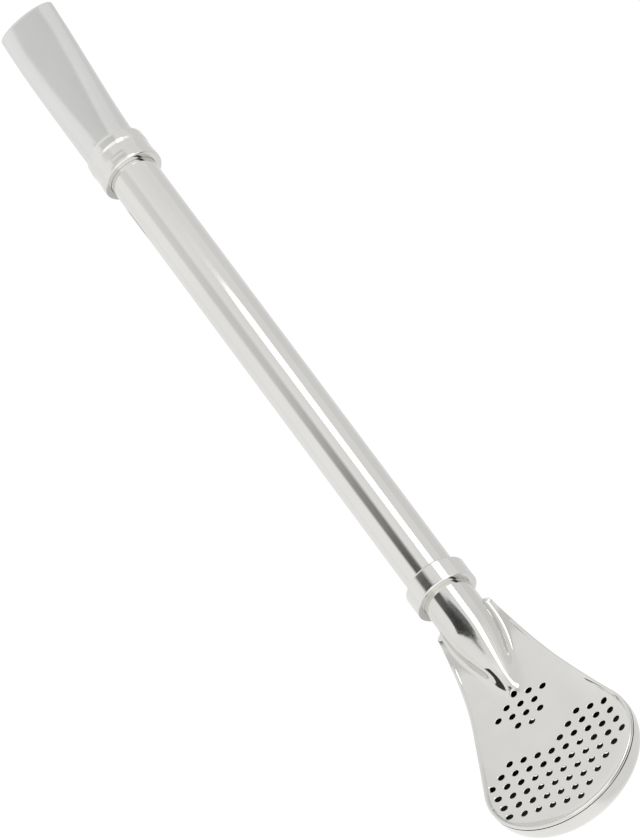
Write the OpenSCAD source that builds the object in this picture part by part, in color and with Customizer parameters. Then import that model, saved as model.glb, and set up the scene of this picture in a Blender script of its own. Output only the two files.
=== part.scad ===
// Bombilla: a metal drinking straw with a flat strainer head that unscrews into three lengths.
// The straw lies on its back along Y, mouth at +Y, strainer face up (+Z).
// Sizes are millimetres. Places along the straw count from the tip-side face of the lower collar.

/* [Stem] */
// Outside diameter of the stem tube
tube_d = 8; // [7.4:0.1:9]
// Wall of the stem tube
tube_wall = 0.5; // [0.4:0.05:0.6]
// Length of stem that shows between the two collars
stem_show = 88.8; // [60:0.1:140]

/* [Collars] */
// Outside diameter of both collars
collar_d = 10.2; // [10:0.1:13]
// Straight band of the lower collar
lower_band = 3.5; // [3.4:0.1:7]
// Sloped shoulder above the lower band
lower_shoulder = 0.8; // [0.5:0.1:3]
// Straight band of the upper collar
upper_band = 3.5; // [3.4:0.1:7]
// Rounded shoulder above the upper band
upper_shoulder = 3.3; // [3:0.1:6]
// Rounding of the collars' tip-side edge
collar_round = 0.3; // [0.1:0.05:0.5]
// Depth of the socket that hides the end of the entering tube
socket_depth = 1.2; // [0.8:0.1:1.6]
// How deep the stem's end sits in the lower collar
stem_seat = 1.6; // [1.2:0.1:2.2]
// Thin edge of a collar's shoulder round its tube
shoulder_edge = 0.2; // [0.1:0.05:0.4]

/* [Thread] */
// Outside diameter of the male thread
thread_d = 5.9; // [5.4:0.1:6.1]
// Advance for each turn
thread_pitch = 1; // [0.75:0.05:1.25]
// Height of the thread form
thread_depth = 0.5; // [0.3:0.05:0.6]
// Engaged length of thread
thread_l = 4.5; // [3:0.1:5]
// Bore through the threaded nipples
nipple_bore = 4; // [3:0.1:4.2]
// Length of the nipple's spigot inside its tube
spigot_l = 6; // [4:0.5:10]

/* [Seals] */
// Thickness of the flat sealing washers
seal_t = 0.75; // [0.5:0.05:1.2]

/* [Mouthpiece] */
// Length of mouthpiece that shows above the upper collar
mouth_show = 28.4; // [18:0.1:45]
// Width across the flattened mouth
mouth_w = 10.2; // [8.5:0.1:13]
// Thickness of the flattened mouth
mouth_t = 4.1; // [3:0.1:6]
// Squareness of the mouth's oval, 2 is an ellipse
mouth_square = 2.5; // [2:0.1:4]
// How far the mouth leans to the side
mouth_lean = 0.9; // [0:0.1:3]

/* [Strainer head] */
// Length of round neck between the lower collar and the head
neck_show = 4.6; // [2:0.1:10]
// Half width of the head at its shoulders
shoulder_half = 4.85; // [4.75:0.05:6]
// Radius of the round end of the head
bulb_r = 12.5; // [11.5:0.1:16]
// Distance along the head from its shoulders to the middle of the round end
bulb_at = 35.8; // [34:0.1:45]
// Radius of the hollow flanks between shoulder and round end
flank_r = 230; // [120:5:600]
// Radius on which the head bends forward
bend_r = 44; // [40:0.5:70]
// Angle that the head bends forward
bend_angle = 23; // [16:0.5:26]
// Thickness of the front plate
plate_t = 0.3; // [0.2:0.05:0.8]
// Wall of the back shell
shell_wall = 0.5; // [0.4:0.05:0.8]
// Depth of the back shell below the front plate's face
shell_depth = 4; // [3.4:0.1:6]
// Straight height of the shell's side below the front plate's face
side_h = 1.4; // [1:0.1:2]
// Width of the rounding between the shell's side and its floor
side_round = 4.2; // [2:0.1:4.3]
// Height of the rolled rim above the front plate
rim_h = 0.45; // [0.2:0.05:0.8]

/* [Holes] */
// Diameter of the strainer holes
hole_d = 1.1; // [0.6:0.05:1.3]
// Spacing of the holes in a column
hole_pitch = 2.4; // [2.2:0.05:2.45]
// Least sheet left between a hole and the front plate's edge
hole_edge = 0.05; // [0.03:0.01:0.3]
// Sideways shift of the whole pattern, as photographed
hole_shift = -0.35; // [-0.4:0.05:0.4]
// Place of the first hole of the small group, along the head
small_group_at = 17.4; // [16.7:0.1:18.7]
// Place of the middle column's first hole of the large group, along the head
large_group_at = 33.2; // [32.8:0.1:34]

/* [Clearances] */
// Gap round a soldered or slip-fitted piece
solder_gap = 0.02; // [0.01:0.01:0.05]
// Radial gap between turning pieces
turn_gap = 0.1; // [0.05:0.01:0.15]
// Radial gap between the two thread forms
thread_gap = 0.15; // [0.12:0.01:0.2]
// Gap above a seal at rest
seal_gap = 0.05; // [0.02:0.01:0.1]

/* [Hidden] */
$fn = 64;
// Overlap past a cut face
cut = 0.5;
// Samples of the thread round a turn and along a pitch
thread_sides = 24;
thread_rows = 6;
// Sides and rings of the flattened mouthpiece
mouth_sides = 40;
mouth_rings = 16;
// Steps of the head's outline along a flank and round half of the end
flank_steps = 18;
bulb_steps = 20;
// Steps of the rounding between the shell's side and its floor
round_steps = 6;
// Corner taken off the rolled rim
rim_bevel = 0.15;

tube_r = tube_d / 2;
bore_r = tube_r - tube_wall;
collar_r = collar_d / 2;
lower_l = lower_band + lower_shoulder;
upper_l = upper_band + upper_shoulder;
// The upper collar's tip-side face, and the mouth
upper_at = lower_l + stem_show;
mouth_at = upper_at + upper_l + mouth_show;
// Inside a coupling, from the collar's face: the seal's seat, the thread's end and the sleeve's end
seal_at = socket_depth + seal_t + seal_gap;
thread_end = seal_at + thread_l;
sleeve_end = thread_end + cut;
sleeve_r = bore_r - solder_gap;
shoulder_r = tube_r + shoulder_edge;
// Where the stem's soldered end starts
stem_at = lower_l - stem_seat;
// The mouthpiece stays round past the collar's sleeve
mouth_round_end = upper_at + max(upper_l, sleeve_end) + solder_gap;

shoulder_y = -neck_show;
// Developed length of the bend, and where it ends
bend_u = bend_r * bend_angle * PI / 180;
bend_y = shoulder_y - bend_r * sin(bend_angle);
bend_z = bend_r * (1 - cos(bend_angle));
tip_u = bulb_at + bulb_r;
// Length past the shoulders at which the plate has risen to the top of the neck
ridge_l = bend_z < tube_r
    ? bend_r * sin(bend_angle) + (tube_r - bend_z) / tan(bend_angle)
    : sqrt(pow(bend_r, 2) - pow(bend_r - tube_r, 2));
hole_step = hole_pitch / 2;
hole_column = hole_pitch * sqrt(3) / 2;
plate_inset = shell_wall + solder_gap;

// Centre of the flank's arc, which passes through the shoulder and touches the round end:
// both conditions put it on the line x = line_x + line_slope * u, and the first one places it there
line_slope = bulb_at / shoulder_half;
line_x = (pow(flank_r + bulb_r, 2) - pow(flank_r, 2) - pow(bulb_at, 2) + pow(shoulder_half, 2))
    / (2 * shoulder_half);
line_rise = line_x - shoulder_half;
line_square = 1 + line_slope * line_slope;
flank_u = (sqrt(pow(line_slope * line_rise, 2) - line_square * (pow(line_rise, 2) - pow(flank_r, 2)))
    - line_slope * line_rise) / line_square;
flank_x = line_x + line_slope * flank_u;
// Directions, as angles in the (x, u) plane, of the flank's two ends seen from its centre
flank_a0 = atan2(-flank_u, shoulder_half - flank_x);
flank_a1 = atan2(bulb_at - flank_u, -flank_x);
bulb_a0 = flank_a1 - 180;
half_steps = flank_steps + bulb_steps;

// One point of the right half outline, moved in by q: x and the developed distance u
function flank_point(a, q) = [flank_x + (flank_r + q) * cos(a), flank_u + (flank_r + q) * sin(a)];
function bulb_point(a, q) = [(bulb_r - q) * cos(a), bulb_at + (bulb_r - q) * sin(a)];
function raw_half_point(i, q) = i <= flank_steps
    ? flank_point(flank_a0 + (flank_a1 - flank_a0) * i / flank_steps, q)
    : bulb_point(bulb_a0 + (90 - bulb_a0) * (i - flank_steps) / bulb_steps, q);
function half_point(i, q) = let (p = raw_half_point(i, q))
    i == 0 ? [p.x, 0] : (i == half_steps ? [0, p.y] : p);
// Half width of the outline at u, moved in by q
function flank_half(u, q) = flank_x - sqrt(pow(flank_r + q, 2) - pow(u - flank_u, 2));
function bulb_half(u, q) = sqrt(max(0, pow(bulb_r - q, 2) - pow(u - bulb_at, 2)));
function outline_half(u, q) = u < bulb_point(bulb_a0, q).y ? flank_half(u, q) : bulb_half(u, q);

// A point of the head at sideways x, developed u and depth below the front face
function head_y(u, depth) = u < bend_u
    ? shoulder_y - (bend_r + depth) * sin(u / bend_r * 180 / PI)
    : bend_y - (u - bend_u) * cos(bend_angle) - depth * sin(bend_angle);
function head_z(u, depth) = u < bend_u
    ? bend_r - (bend_r + depth) * cos(u / bend_r * 180 / PI)
    : bend_z + (u - bend_u) * sin(bend_angle) - depth * cos(bend_angle);
function head_point(x, u, depth) = [x, head_y(u, depth), head_z(u, depth)];

// Section of the back shell's edge, from rim to floor: distance in from the outline, and depth
function edge_section(wall) = concat(
    [[wall == 0 ? rim_bevel : wall - rim_bevel, -rim_h], [wall, rim_bevel - rim_h]],
    [for (i = [0:round_steps]) let (a = 90 * i / round_steps)
        [wall + (side_round - wall) * (1 - cos(a)), side_h + (shell_depth - wall - side_h) * sin(a)]]);
outer_edge = edge_section(0);
inner_edge = edge_section(shell_wall);

// Farthest place of the tip, and the middle between it and the mouth
tip_y = min([for (e = outer_edge) head_y(tip_u - e.x, e.y)]);
middle_y = (mouth_at + tip_y) / 2;

function quad(a, b, c, d) = [[a, b, c], [a, c, d]];
function joined(lists) = [for (list = lists) for (item = list) item];
function power(v, p) = sign(v) * pow(abs(v), p);

// Puts the straw's middle over the origin with its collars on the ground
module laid() {
    translate([0, -middle_y, collar_r]) children();
}

// Turns a shape that was made upright so that it points to the mouth from a place along the straw
module along(y) {
    translate([0, y, 0]) rotate([-90, 0, 0]) children();
}

// Flat part of the head: local Z out of the front face, local -Y towards the tip
module head_flat() {
    translate([0, bend_y, bend_z]) rotate([-bend_angle, 0, 0]) children();
}

// Threaded rod from z0 to z1, right-handed
module thread_rod(crest_r, z0, z1) {
    rows = ceil((z1 - z0) / thread_pitch * thread_rows);
    points = [for (j = [0:rows]) let (z = z0 + (z1 - z0) * j / rows)
        for (i = [0:thread_sides - 1])
        let (turn = z / thread_pitch - i / thread_sides,
            form = abs(2 * (turn - floor(turn)) - 1),
            r = crest_r - thread_depth * (1 - form),
            a = 360 * i / thread_sides)
        [r * cos(a), r * sin(a), z]];
    last = rows * thread_sides;
    sides = [for (j = [0:rows - 1]) for (i = [0:thread_sides - 1])
        let (n = (i + 1) % thread_sides, a = j * thread_sides, b = a + thread_sides)
        each quad(a + i, b + i, b + n, a + n)];
    ends = [for (i = [1:thread_sides - 2])
        each [[0, i, i + 1], [last, last + i + 1, last + i]]];
    polyhedron(points, concat(sides, ends));
}

// Turned collar: band and shoulder outside, tube seat above, socket and female thread inside
module collar(profile, length, seat) {
    difference() {
        union() {
            rotate_extrude() polygon(concat([[0, 0]], profile, [[0, length]]));
            cylinder(r = sleeve_r, h = sleeve_end);
        }
        translate([0, 0, seat]) difference() {
            cylinder(r = tube_r + solder_gap, h = length);
            translate([0, 0, -cut]) cylinder(r = sleeve_r, h = length + 2 * cut);
        }
        translate([0, 0, -cut]) cylinder(r = tube_r + turn_gap, h = seal_at + cut);
        thread_rod(thread_d / 2 + thread_gap, seal_at - cut, sleeve_end + cut);
    }
}

function band_foot() = [[collar_r - collar_round, 0],
    for (a = [30:30:90]) [collar_r - collar_round * (1 - sin(a)), collar_round * (1 - cos(a))]];

// Threaded nipple: spigot inside its tube below, male thread above
module nipple() {
    difference() {
        union() {
            translate([0, 0, socket_depth - spigot_l]) cylinder(r = sleeve_r, h = spigot_l);
            thread_rod(thread_d / 2, socket_depth - cut, thread_end);
        }
        translate([0, 0, socket_depth - spigot_l - cut])
            cylinder(r = nipple_bore / 2, h = spigot_l + thread_end + 2 * cut);
    }
}

// Flat washer that sits on the end of the entering tube
module seal() {
    translate([0, 0, socket_depth]) difference() {
        cylinder(r = tube_r - seal_gap, h = seal_t);
        translate([0, 0, -cut]) cylinder(r = thread_d / 2 + turn_gap, h = seal_t + 2 * cut);
    }
}

// One ring of the flattening mouthpiece: t runs from 0 at its round end to 1 at the mouth
function mouth_ring(t, wall) = let (
        ease = t * (2 - t),
        half_w = tube_r + (mouth_w / 2 - tube_r) * t - wall,
        half_t = tube_r + (mouth_t / 2 - tube_r) * ease - wall,
        square = 2 + (mouth_square - 2) * t,
        y = mouth_round_end + (mouth_at - mouth_round_end) * t)
    [for (i = [0:mouth_sides - 1]) let (a = 360 * i / mouth_sides)
        [mouth_lean * t + half_w * power(cos(a), 2 / square), y, half_t * power(sin(a), 2 / square)]];

// The seat ring keeps the tube's round section
function seat_ring(wall) = [for (p = mouth_ring(0, wall)) [p.x, upper_at + upper_band, p.z]];

module mouthpiece_tube() {
    rings = joined([for (wall = [0, tube_wall])
        concat([seat_ring(wall)], [for (j = [0:mouth_rings]) mouth_ring(j / mouth_rings, wall)])]);
    last = mouth_rings + 1;
    // Point i of a ring, of the outer skin and of the inner one
    function outer(i, ring) = ring * mouth_sides + i % mouth_sides;
    function inner(i, ring) = outer(i, ring + last + 1);
    skins = [for (i = [0:mouth_sides - 1]) for (j = [0:last - 1])
        each concat(quad(outer(i, j), outer(i, j + 1), outer(i + 1, j + 1), outer(i + 1, j)),
            quad(inner(i + 1, j), inner(i + 1, j + 1), inner(i, j + 1), inner(i, j)))];
    seat_end = [for (i = [0:mouth_sides - 1])
        each quad(outer(i, 0), outer(i + 1, 0), inner(i + 1, 0), inner(i, 0))];
    lip = [for (i = [0:mouth_sides - 1])
        each quad(outer(i + 1, last), outer(i, last), inner(i, last), inner(i + 1, last))];
    color("#d4d5d4") laid() polyhedron(joined(rings), concat(skins, seat_end, lip));
}

module upper_collar() {
    shoulder = [for (a = [15:15:90])
        [shoulder_r + (collar_r - shoulder_r) * cos(a), upper_band + upper_shoulder * sin(a)]];
    color("#dcdcda") laid() along(upper_at)
        collar(concat(band_foot(), [[collar_r, upper_band]], shoulder), upper_l, upper_band);
}

module mouth_seal() {
    color("#efeee9") laid() along(upper_at) seal();
}

module stem_nipple() {
    color("#c9cac8") laid() along(upper_at) nipple();
}

module stem_tube() {
    length = upper_at + socket_depth - stem_at;
    color("#dedfdd") laid() along(stem_at) difference() {
        cylinder(r = tube_r, h = length);
        translate([0, 0, -cut]) cylinder(r = bore_r, h = length + 2 * cut);
    }
}

module lower_collar() {
    shoulder = [[collar_r, lower_band], [shoulder_r, lower_l]];
    color("#dcdcda") laid() along(0) collar(concat(band_foot(), shoulder), lower_l, stem_at);
}

module head_seal() {
    color("#efeee9") laid() along(0) seal();
}

module head_nipple() {
    color("#c9cac8") laid() along(0) nipple();
}

// Hole centres as [x, u]: a lattice of columns staggered by half a pitch
function hole_column_at(k, first, count, start) = [for (i = [0:count - 1])
    [hole_shift + k * hole_column, start + (first + 2 * i) * hole_step]];
small_group = joined([for (k = [-2:2]) let (n = abs(k))
    hole_column_at(k, n, [4, 3, 1][n], small_group_at)]);
large_group = joined([for (k = [-5:5]) let (n = abs(k))
    hole_column_at(k, [0, -1, -2, -3, -2, -1][n], [6, 6, 6, 6, 5, 4][n], large_group_at)]);
// The holes that the front plate has room for
hole_room = hole_d / 2 + hole_edge;
plate_holes = [for (p = concat(small_group, large_group))
    if (abs(p.x) < outline_half(p.y, plate_inset + hole_room)) p];

// Drills through the flat part of the head between two depths
module drills(group, depth0, depth1) {
    head_flat() for (p = group) translate([p.x, bend_u - p.y, -depth1])
        cylinder(d = hole_d, h = depth1 - depth0, $fn = 24);
}

// The neck's half tube on one side of the straw's middle plane
module half_neck(side) {
    length = neck_show + socket_depth;
    intersection() {
        along(shoulder_y) difference() {
            cylinder(r = tube_r, h = length);
            translate([0, 0, -cut]) cylinder(r = bore_r, h = length + 2 * cut);
        }
        translate([-tube_d, shoulder_y - cut, side > 0 ? 0 : -tube_d - solder_gap])
            cube([2 * tube_d, length + 2 * cut, tube_d]);
    }
}

// Bent part of the front plate, cut to the outline
module plate_bend() {
    right = concat(
        [for (i = [0:flank_steps]) let (u = bend_u * i / flank_steps)
            [outline_half(u, plate_inset), head_y(u, 0)]],
        [[outline_half(bend_u, plate_inset), bend_y - plate_t]]);
    left = [for (i = [len(right) - 1:-1:0]) [-right[i].x, right[i].y]];
    intersection() {
        translate([0, shoulder_y, bend_r]) rotate([0, 90, 180]) rotate_extrude(angle = bend_angle)
            translate([bend_r, -bulb_r]) square([plate_t, 2 * bulb_r]);
        translate([0, 0, -tube_d]) linear_extrude(3 * tube_d) polygon(concat(right, left));
    }
}

// Flat part of the front plate
module plate_flat() {
    right = concat([[outline_half(bend_u, plate_inset), 0]],
        [for (i = [0:half_steps]) let (p = half_point(i, plate_inset)) if (p.y > bend_u)
            [p.x, bend_u - p.y]]);
    left = [for (i = [len(right) - 2:-1:0]) [-right[i].x, right[i].y]];
    head_flat() translate([0, 0, -plate_t]) linear_extrude(plate_t) polygon(concat(right, left));
}

// Everything in front of the middle of the front plate's thickness, as far as the neck is wide
module before_plate() {
    translate([-tube_d, shoulder_y, bend_r]) rotate([0, 90, 0])
        cylinder(r = bend_r + plate_t / 2, h = 2 * tube_d);
    head_flat() translate([-tube_d, -ridge_l, -plate_t / 2]) cube([2 * tube_d, ridge_l, tube_d]);
}

// Front plate: bent sheet with the neck's front half fading into it as a ridge, and the holes
module front_plate() {
    bore_l = ridge_l - plate_t;
    color("#d0d1cf") laid() difference() {
        union() {
            plate_bend();
            plate_flat();
            intersection() {
                along(shoulder_y - ridge_l - cut) cylinder(r = tube_r, h = ridge_l + cut);
                before_plate();
            }
            half_neck(1);
        }
        along(shoulder_y - bore_l) cylinder(r = bore_r, h = bore_l + neck_show + socket_depth + cut);
        drills(plate_holes, -tube_wall - cut, plate_t + cut);
    }
}

// Back shell: a pan with a rounded edge and rolled rim that follows the head's outline and bend
module pan() {
    sections = concat(outer_edge, [for (i = [len(inner_edge) - 1:-1:0]) inner_edge[i]]);
    last = 2 * half_steps;
    around = last + 1;
    deep = len(outer_edge) - 1;
    top = len(sections) - 1;
    points = [for (e = sections) for (i = [0:last])
        let (side = i <= half_steps ? 1 : -1, p = half_point(i <= half_steps ? i : last - i, e.x))
        head_point(side * p.x, p.y, e.y)];
    function at(i, k) = k * around + i;
    strips = [for (k = [0:top - 1]) if (k != deep) for (i = [0:last - 1])
        each quad(at(i, k), at(i, k + 1), at(i + 1, k + 1), at(i + 1, k))];
    rim = [for (i = [0:last - 1]) each quad(at(i, top), at(i, 0), at(i + 1, 0), at(i + 1, top))];
    floor_under = [for (h = [0:half_steps - 2])
        each quad(at(h, deep), at(last - h, deep), at(last - h - 1, deep), at(h + 1, deep))];
    floor_over = [for (h = [0:half_steps - 2]) let (k = deep + 1)
        each quad(at(h, k), at(h + 1, k), at(last - h - 1, k), at(last - h, k))];
    floor_tips = let (h = half_steps)
        [[at(h - 1, deep), at(h + 1, deep), at(h, deep)],
            [at(h - 1, deep + 1), at(h, deep + 1), at(h + 1, deep + 1)]];
    ends = [for (k = [0:deep - 1])
        each concat(quad(at(0, k), at(0, top - k), at(0, top - k - 1), at(0, k + 1)),
            quad(at(last, k), at(last, k + 1), at(last, top - k - 1), at(last, top - k)))];
    sill = quad(at(0, deep), at(0, deep + 1), at(last, deep + 1), at(last, deep));
    polyhedron(points, concat(strips, rim, floor_under, floor_over, floor_tips, ends, sill));
}

// Closes the pan at the neck: its edge lies halfway into the pan's wall, under the front plate
module shoulder_wall() {
    inset = shell_wall / 2;
    top = plate_t + solder_gap;
    right = concat([[shoulder_half - inset, -top]],
        [for (e = outer_edge) if (e.y > top)
            [shoulder_half - max(inset, e.x), -min(e.y, shell_depth - inset)]]);
    left = [for (i = [len(right) - 1:-1:0]) [-right[i].x, right[i].y]];
    difference() {
        translate([0, shoulder_y, 0]) rotate([90, 0, 0]) linear_extrude(shell_wall)
            polygon(concat(right, left));
        along(shoulder_y - shell_wall - cut) cylinder(r = bore_r, h = shell_wall + 2 * cut);
    }
}

// Back shell with the neck's back half, and the holes that fall on its flat floor
module back_shell() {
    floor_group = [for (p = plate_holes)
        if (p.y - hole_d > bend_u && abs(p.x) < outline_half(p.y, side_round + hole_d)) p];
    color("#c6c7c5") laid() difference() {
        union() {
            pan();
            shoulder_wall();
            half_neck(-1);
        }
        drills(floor_group, shell_depth - shell_wall - cut, shell_depth + cut);
    }
}

mouthpiece_tube();
upper_collar();
mouth_seal();
stem_nipple();
stem_tube();
lower_collar();
head_seal();
head_nipple();
front_plate();
back_shell();
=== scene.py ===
"""Looks of a bombilla, a metal mate straw whose mouthpiece and strainer head unscrew from its stem."""

import math

import bmesh
import bpy
from mathutils import Matrix, Vector


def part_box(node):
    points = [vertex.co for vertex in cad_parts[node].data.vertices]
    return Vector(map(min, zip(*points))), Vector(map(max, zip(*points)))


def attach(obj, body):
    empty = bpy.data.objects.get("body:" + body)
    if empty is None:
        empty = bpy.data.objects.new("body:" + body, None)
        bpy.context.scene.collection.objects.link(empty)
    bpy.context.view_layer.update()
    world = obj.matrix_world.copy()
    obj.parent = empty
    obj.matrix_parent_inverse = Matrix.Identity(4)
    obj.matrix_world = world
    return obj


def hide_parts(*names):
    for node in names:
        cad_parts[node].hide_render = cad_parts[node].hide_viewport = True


bl_info = {
    "name": "Bombilla",
    "version": (1, 0, 0),
    "blender": (4, 5, 0),
    "location": "View3D > Sidebar > Bombilla",
    "description": "Dresses the packed bombilla with finished metal, threads, seals and a studio",
    "category": "Object",
}

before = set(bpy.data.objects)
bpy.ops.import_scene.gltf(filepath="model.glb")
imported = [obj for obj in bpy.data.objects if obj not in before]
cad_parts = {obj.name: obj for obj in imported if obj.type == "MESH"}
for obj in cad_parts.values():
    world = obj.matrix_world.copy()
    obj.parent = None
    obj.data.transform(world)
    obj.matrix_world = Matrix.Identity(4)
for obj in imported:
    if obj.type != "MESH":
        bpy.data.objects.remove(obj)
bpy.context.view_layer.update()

# Pieces are modelled in millimetres, and places along the straw count from the lower collar's tip-side
# face; the stage is set up in metres
MM = 0.001
LOWER_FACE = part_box("lower_collar")[0].y
UPPER_AT = (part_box("upper_collar")[0].y - LOWER_FACE) / MM
MOUTH_AT = (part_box("mouthpiece_tube")[1].y - LOWER_FACE) / MM
STRAW_AXIS = sum(corner.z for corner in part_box("stem_tube")) / 2
LAID = Matrix.Translation((0, LOWER_FACE, STRAW_AXIS)) @ Matrix.Scale(MM, 4)
ALONG = Vector((0, 1, 0))

# Threads: length and height in a collar, the same on a nipple, a ridge's half width, play between the
# two, and how far a ridge is sunk in its base
COLLAR_THREAD = 5
COLLAR_RIDGE = 0.47
NIPPLE_THREAD = 4.5
NIPPLE_RIDGE = 0.5
THREAD_HALF = 0.36
THREAD_PLAY = 0.15
ROOT_OVERLAP = 0.03
# Room behind a seal, play of a tube in its seat, and how deep the stem sits in the lower collar
SEAL_ROOM = 0.05
SEAT_PLAY = 0.02
STEM_SEAT = 1.6
# Width of the rolled lip round a strainer hole
HOLE_LIP = 0.13


def linear(code):
    """A colour written as sRGB hex, as linear red, green and blue."""
    parts = [int(code[i:i + 2], 16) / 255 for i in (1, 3, 5)]
    return tuple(v / 12.92 if v < 0.04045 else ((v + 0.055) / 1.055) ** 2.4 for v in parts)


def smooth_step(low, high, value):
    """Eases from 0 at low to 1 at high."""
    t = min(1, max(0, (value - low) / (high - low)))
    return t * t * (3 - 2 * t)


def length_of(name, description, default, lowest=0):
    """A length for a property group, written in millimetres."""
    return bpy.props.FloatProperty(name=name, description=description, default=default * MM,
                                   min=lowest * MM, subtype="DISTANCE", unit="LENGTH")


def colour_of(name, description, code):
    """A colour for a property group."""
    return bpy.props.FloatVectorProperty(
        name=name, description=description, subtype="COLOR", size=3, default=linear(code), min=0, max=1)


class BombillaStraw(bpy.types.PropertyGroup):
    """Tubes, collars, threads and seals."""

    tube_d: length_of("Tube diameter", "Outside diameter of the stem", 8)
    tube_wall: length_of("Tube wall", "Wall of the tubes", 0.5)
    collar_d: length_of("Collar diameter", "Outside diameter of both collars", 10.2)
    lower_band: length_of("Lower band", "Straight band of the lower collar", 3.5)
    lower_shoulder: length_of("Lower shoulder", "Sloped shoulder of the lower collar", 0.8)
    upper_band: length_of("Upper band", "Straight band of the upper collar", 3.5)
    socket: length_of("Socket", "Depth of the socket round an entering tube", 1.2)
    thread_d: length_of("Thread diameter", "Outside diameter of the male thread", 5.9)
    thread_pitch: length_of("Thread pitch", "Advance of the thread for each turn", 1)
    seal_t: length_of("Seal thickness", "Thickness of the sealing washers", 0.75)
    mouth_w: length_of("Mouth width", "Width across the flattened mouth", 10.2)
    mouth_t: length_of("Mouth thickness", "Thickness of the flattened mouth", 4.6)
    mouth_lean: length_of("Mouth lean", "How far the mouth leans to the right", 0.9)


class BombillaHead(bpy.types.PropertyGroup):
    """The strainer head."""

    neck: length_of("Neck", "Round neck between the lower collar and the head", 4.6)
    shoulder_half: length_of("Shoulder", "Half width of the head at its shoulders", 5)
    bulb_r: length_of("End radius", "Radius of the head's round end", 12.65)
    bulb_at: length_of("End place", "From the shoulders to the middle of the round end", 35.7)
    flank_r: length_of("Flank radius", "Radius of the hollow flanks", 230)
    bend_r: length_of("Bend radius", "Radius on which the head bends forward", 44)
    bend: bpy.props.FloatProperty(
        name="Bend", description="Angle that the head bends forward", subtype="ANGLE",
        default=math.radians(23))
    dish: length_of("Dish", "How far the plate curves forward to its rim", 0.8)
    dish_w: length_of("Dish width", "Width of the border that curves forward", 3.4)
    plate_t: length_of("Plate thickness", "Thickness of the front plate", 0.22)
    shell_t: length_of("Shell thickness", "Thickness of the back shell", 0.45)
    shell_depth: length_of("Shell depth", "Depth of the back shell", 4)
    side_h: length_of("Side height", "Straight height of the shell's side", 1.1)
    side_round: length_of("Side rounding", "Rounding between the shell's side and floor", 4.8)
    bead_w: length_of("Rim width", "Width of the rolled rim", 0.85)
    bead_h: length_of("Rim height", "Height of the rolled rim above the plate", 0.45)
    hole_d: length_of("Hole diameter", "Diameter of the strainer holes", 1.1)
    hole_pitch: length_of("Hole pitch", "Spacing of the holes", 2.4)
    hole_shift: length_of("Hole shift", "Sideways shift of the hole pattern", -0.35, -2)
    small_group: length_of("Small group", "Place of the small group's first hole", 17.4)
    large_group: length_of("Large group", "Place of the first hole in the large group's middle", 32.7)


class BombillaColours(bpy.types.PropertyGroup):
    """Colours of the finishes."""

    plate: colour_of("Plating", "Polished nickel plating of tube and collars", "#e2e1de")
    satin: colour_of("Satin", "Satin plating of the mouthpiece", "#dfdfdd")
    sheet: colour_of("Sheet", "Plating of the pressed strainer sheet", "#dddcd8")
    inside: colour_of("Inside", "Unpolished inside of tubes and shell", "#5a5b61")
    turned: colour_of("Turned steel", "Threaded nipples", "#b9b8b3")
    seal: colour_of("Silicone", "Sealing washers", "#e8e6de")


class InMillimetres:
    """Reads the lengths of a property group in millimetres."""

    def __init__(self, group):
        self.group = group

    def __getattr__(self, name):
        return getattr(self.group, name) / MM


def straw():
    return InMillimetres(bpy.context.scene.bombilla_straw)


def head():
    return InMillimetres(bpy.context.scene.bombilla_head)


def colours():
    return bpy.context.scene.bombilla_colours


def add_node(tree, kind, inputs=None, **settings):
    """Adds a node, sets it up and links or fills its inputs."""
    node = tree.nodes.new(kind)
    for name, value in settings.items():
        setattr(node, name, value)
    for socket, value in (inputs or {}).items():
        if isinstance(value, bpy.types.NodeSocket):
            tree.links.new(value, node.inputs[socket])
        else:
            node.inputs[socket].default_value = value
    return node


def blank_material(name):
    """A new material with an empty node tree."""
    made = bpy.data.materials.new(name)
    made.use_nodes = True
    made.node_tree.nodes.clear()
    return made, made.node_tree


def plated_metal(name, colour, tint, grain_mm, rough, ripple_mm, ripple):
    """A metal with a cloudy tint, a grain of given size along x, y and z, and a slow surface ripple.

    Lathe rings and die lines are finer on the real metal; they are drawn about a pixel wide to show.
    """
    if name in bpy.data.materials:
        return bpy.data.materials[name]
    made, tree = blank_material(name)
    place = add_node(tree, "ShaderNodeTexCoord").outputs["Object"]
    stretched = add_node(tree, "ShaderNodeMapping", {
        "Vector": place, "Scale": [1 / (size * MM) for size in grain_mm]}).outputs["Vector"]
    grain = add_node(tree, "ShaderNodeTexNoise", {
        "Vector": stretched, "Scale": 1.0, "Detail": 3.0, "Roughness": 0.6}).outputs["Fac"]
    cloud = add_node(tree, "ShaderNodeTexNoise", {
        "Vector": place, "Scale": 1 / (ripple_mm * MM), "Detail": 2.0}).outputs["Fac"]
    shade = add_node(tree, "ShaderNodeMapRange", {"Value": cloud, "From Min": 0.35, "From Max": 0.65})
    base = add_node(tree, "ShaderNodeMix", {
        "Factor": shade.outputs["Result"], "A": (*colour, 1), "B": (*[c * tint for c in colour], 1)},
        data_type="RGBA").outputs["Result"]
    haze = add_node(tree, "ShaderNodeMapRange", {
        "Value": grain, "From Min": 0.3, "From Max": 0.7, "To Min": rough[0], "To Max": rough[1]})
    wave = add_node(tree, "ShaderNodeBump", {
        "Height": cloud, "Strength": ripple, "Distance": 0.05 * MM})
    line = add_node(tree, "ShaderNodeBump", {
        "Height": grain, "Strength": 0.15, "Distance": 0.002 * MM, "Normal": wave.outputs["Normal"]})
    shader = add_node(tree, "ShaderNodeBsdfPrincipled", {
        "Base Color": base, "Metallic": 1.0, "Roughness": haze.outputs["Result"],
        "Normal": line.outputs["Normal"]})
    add_node(tree, "ShaderNodeOutputMaterial", {"Surface": shader.outputs["BSDF"]})
    return made


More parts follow.
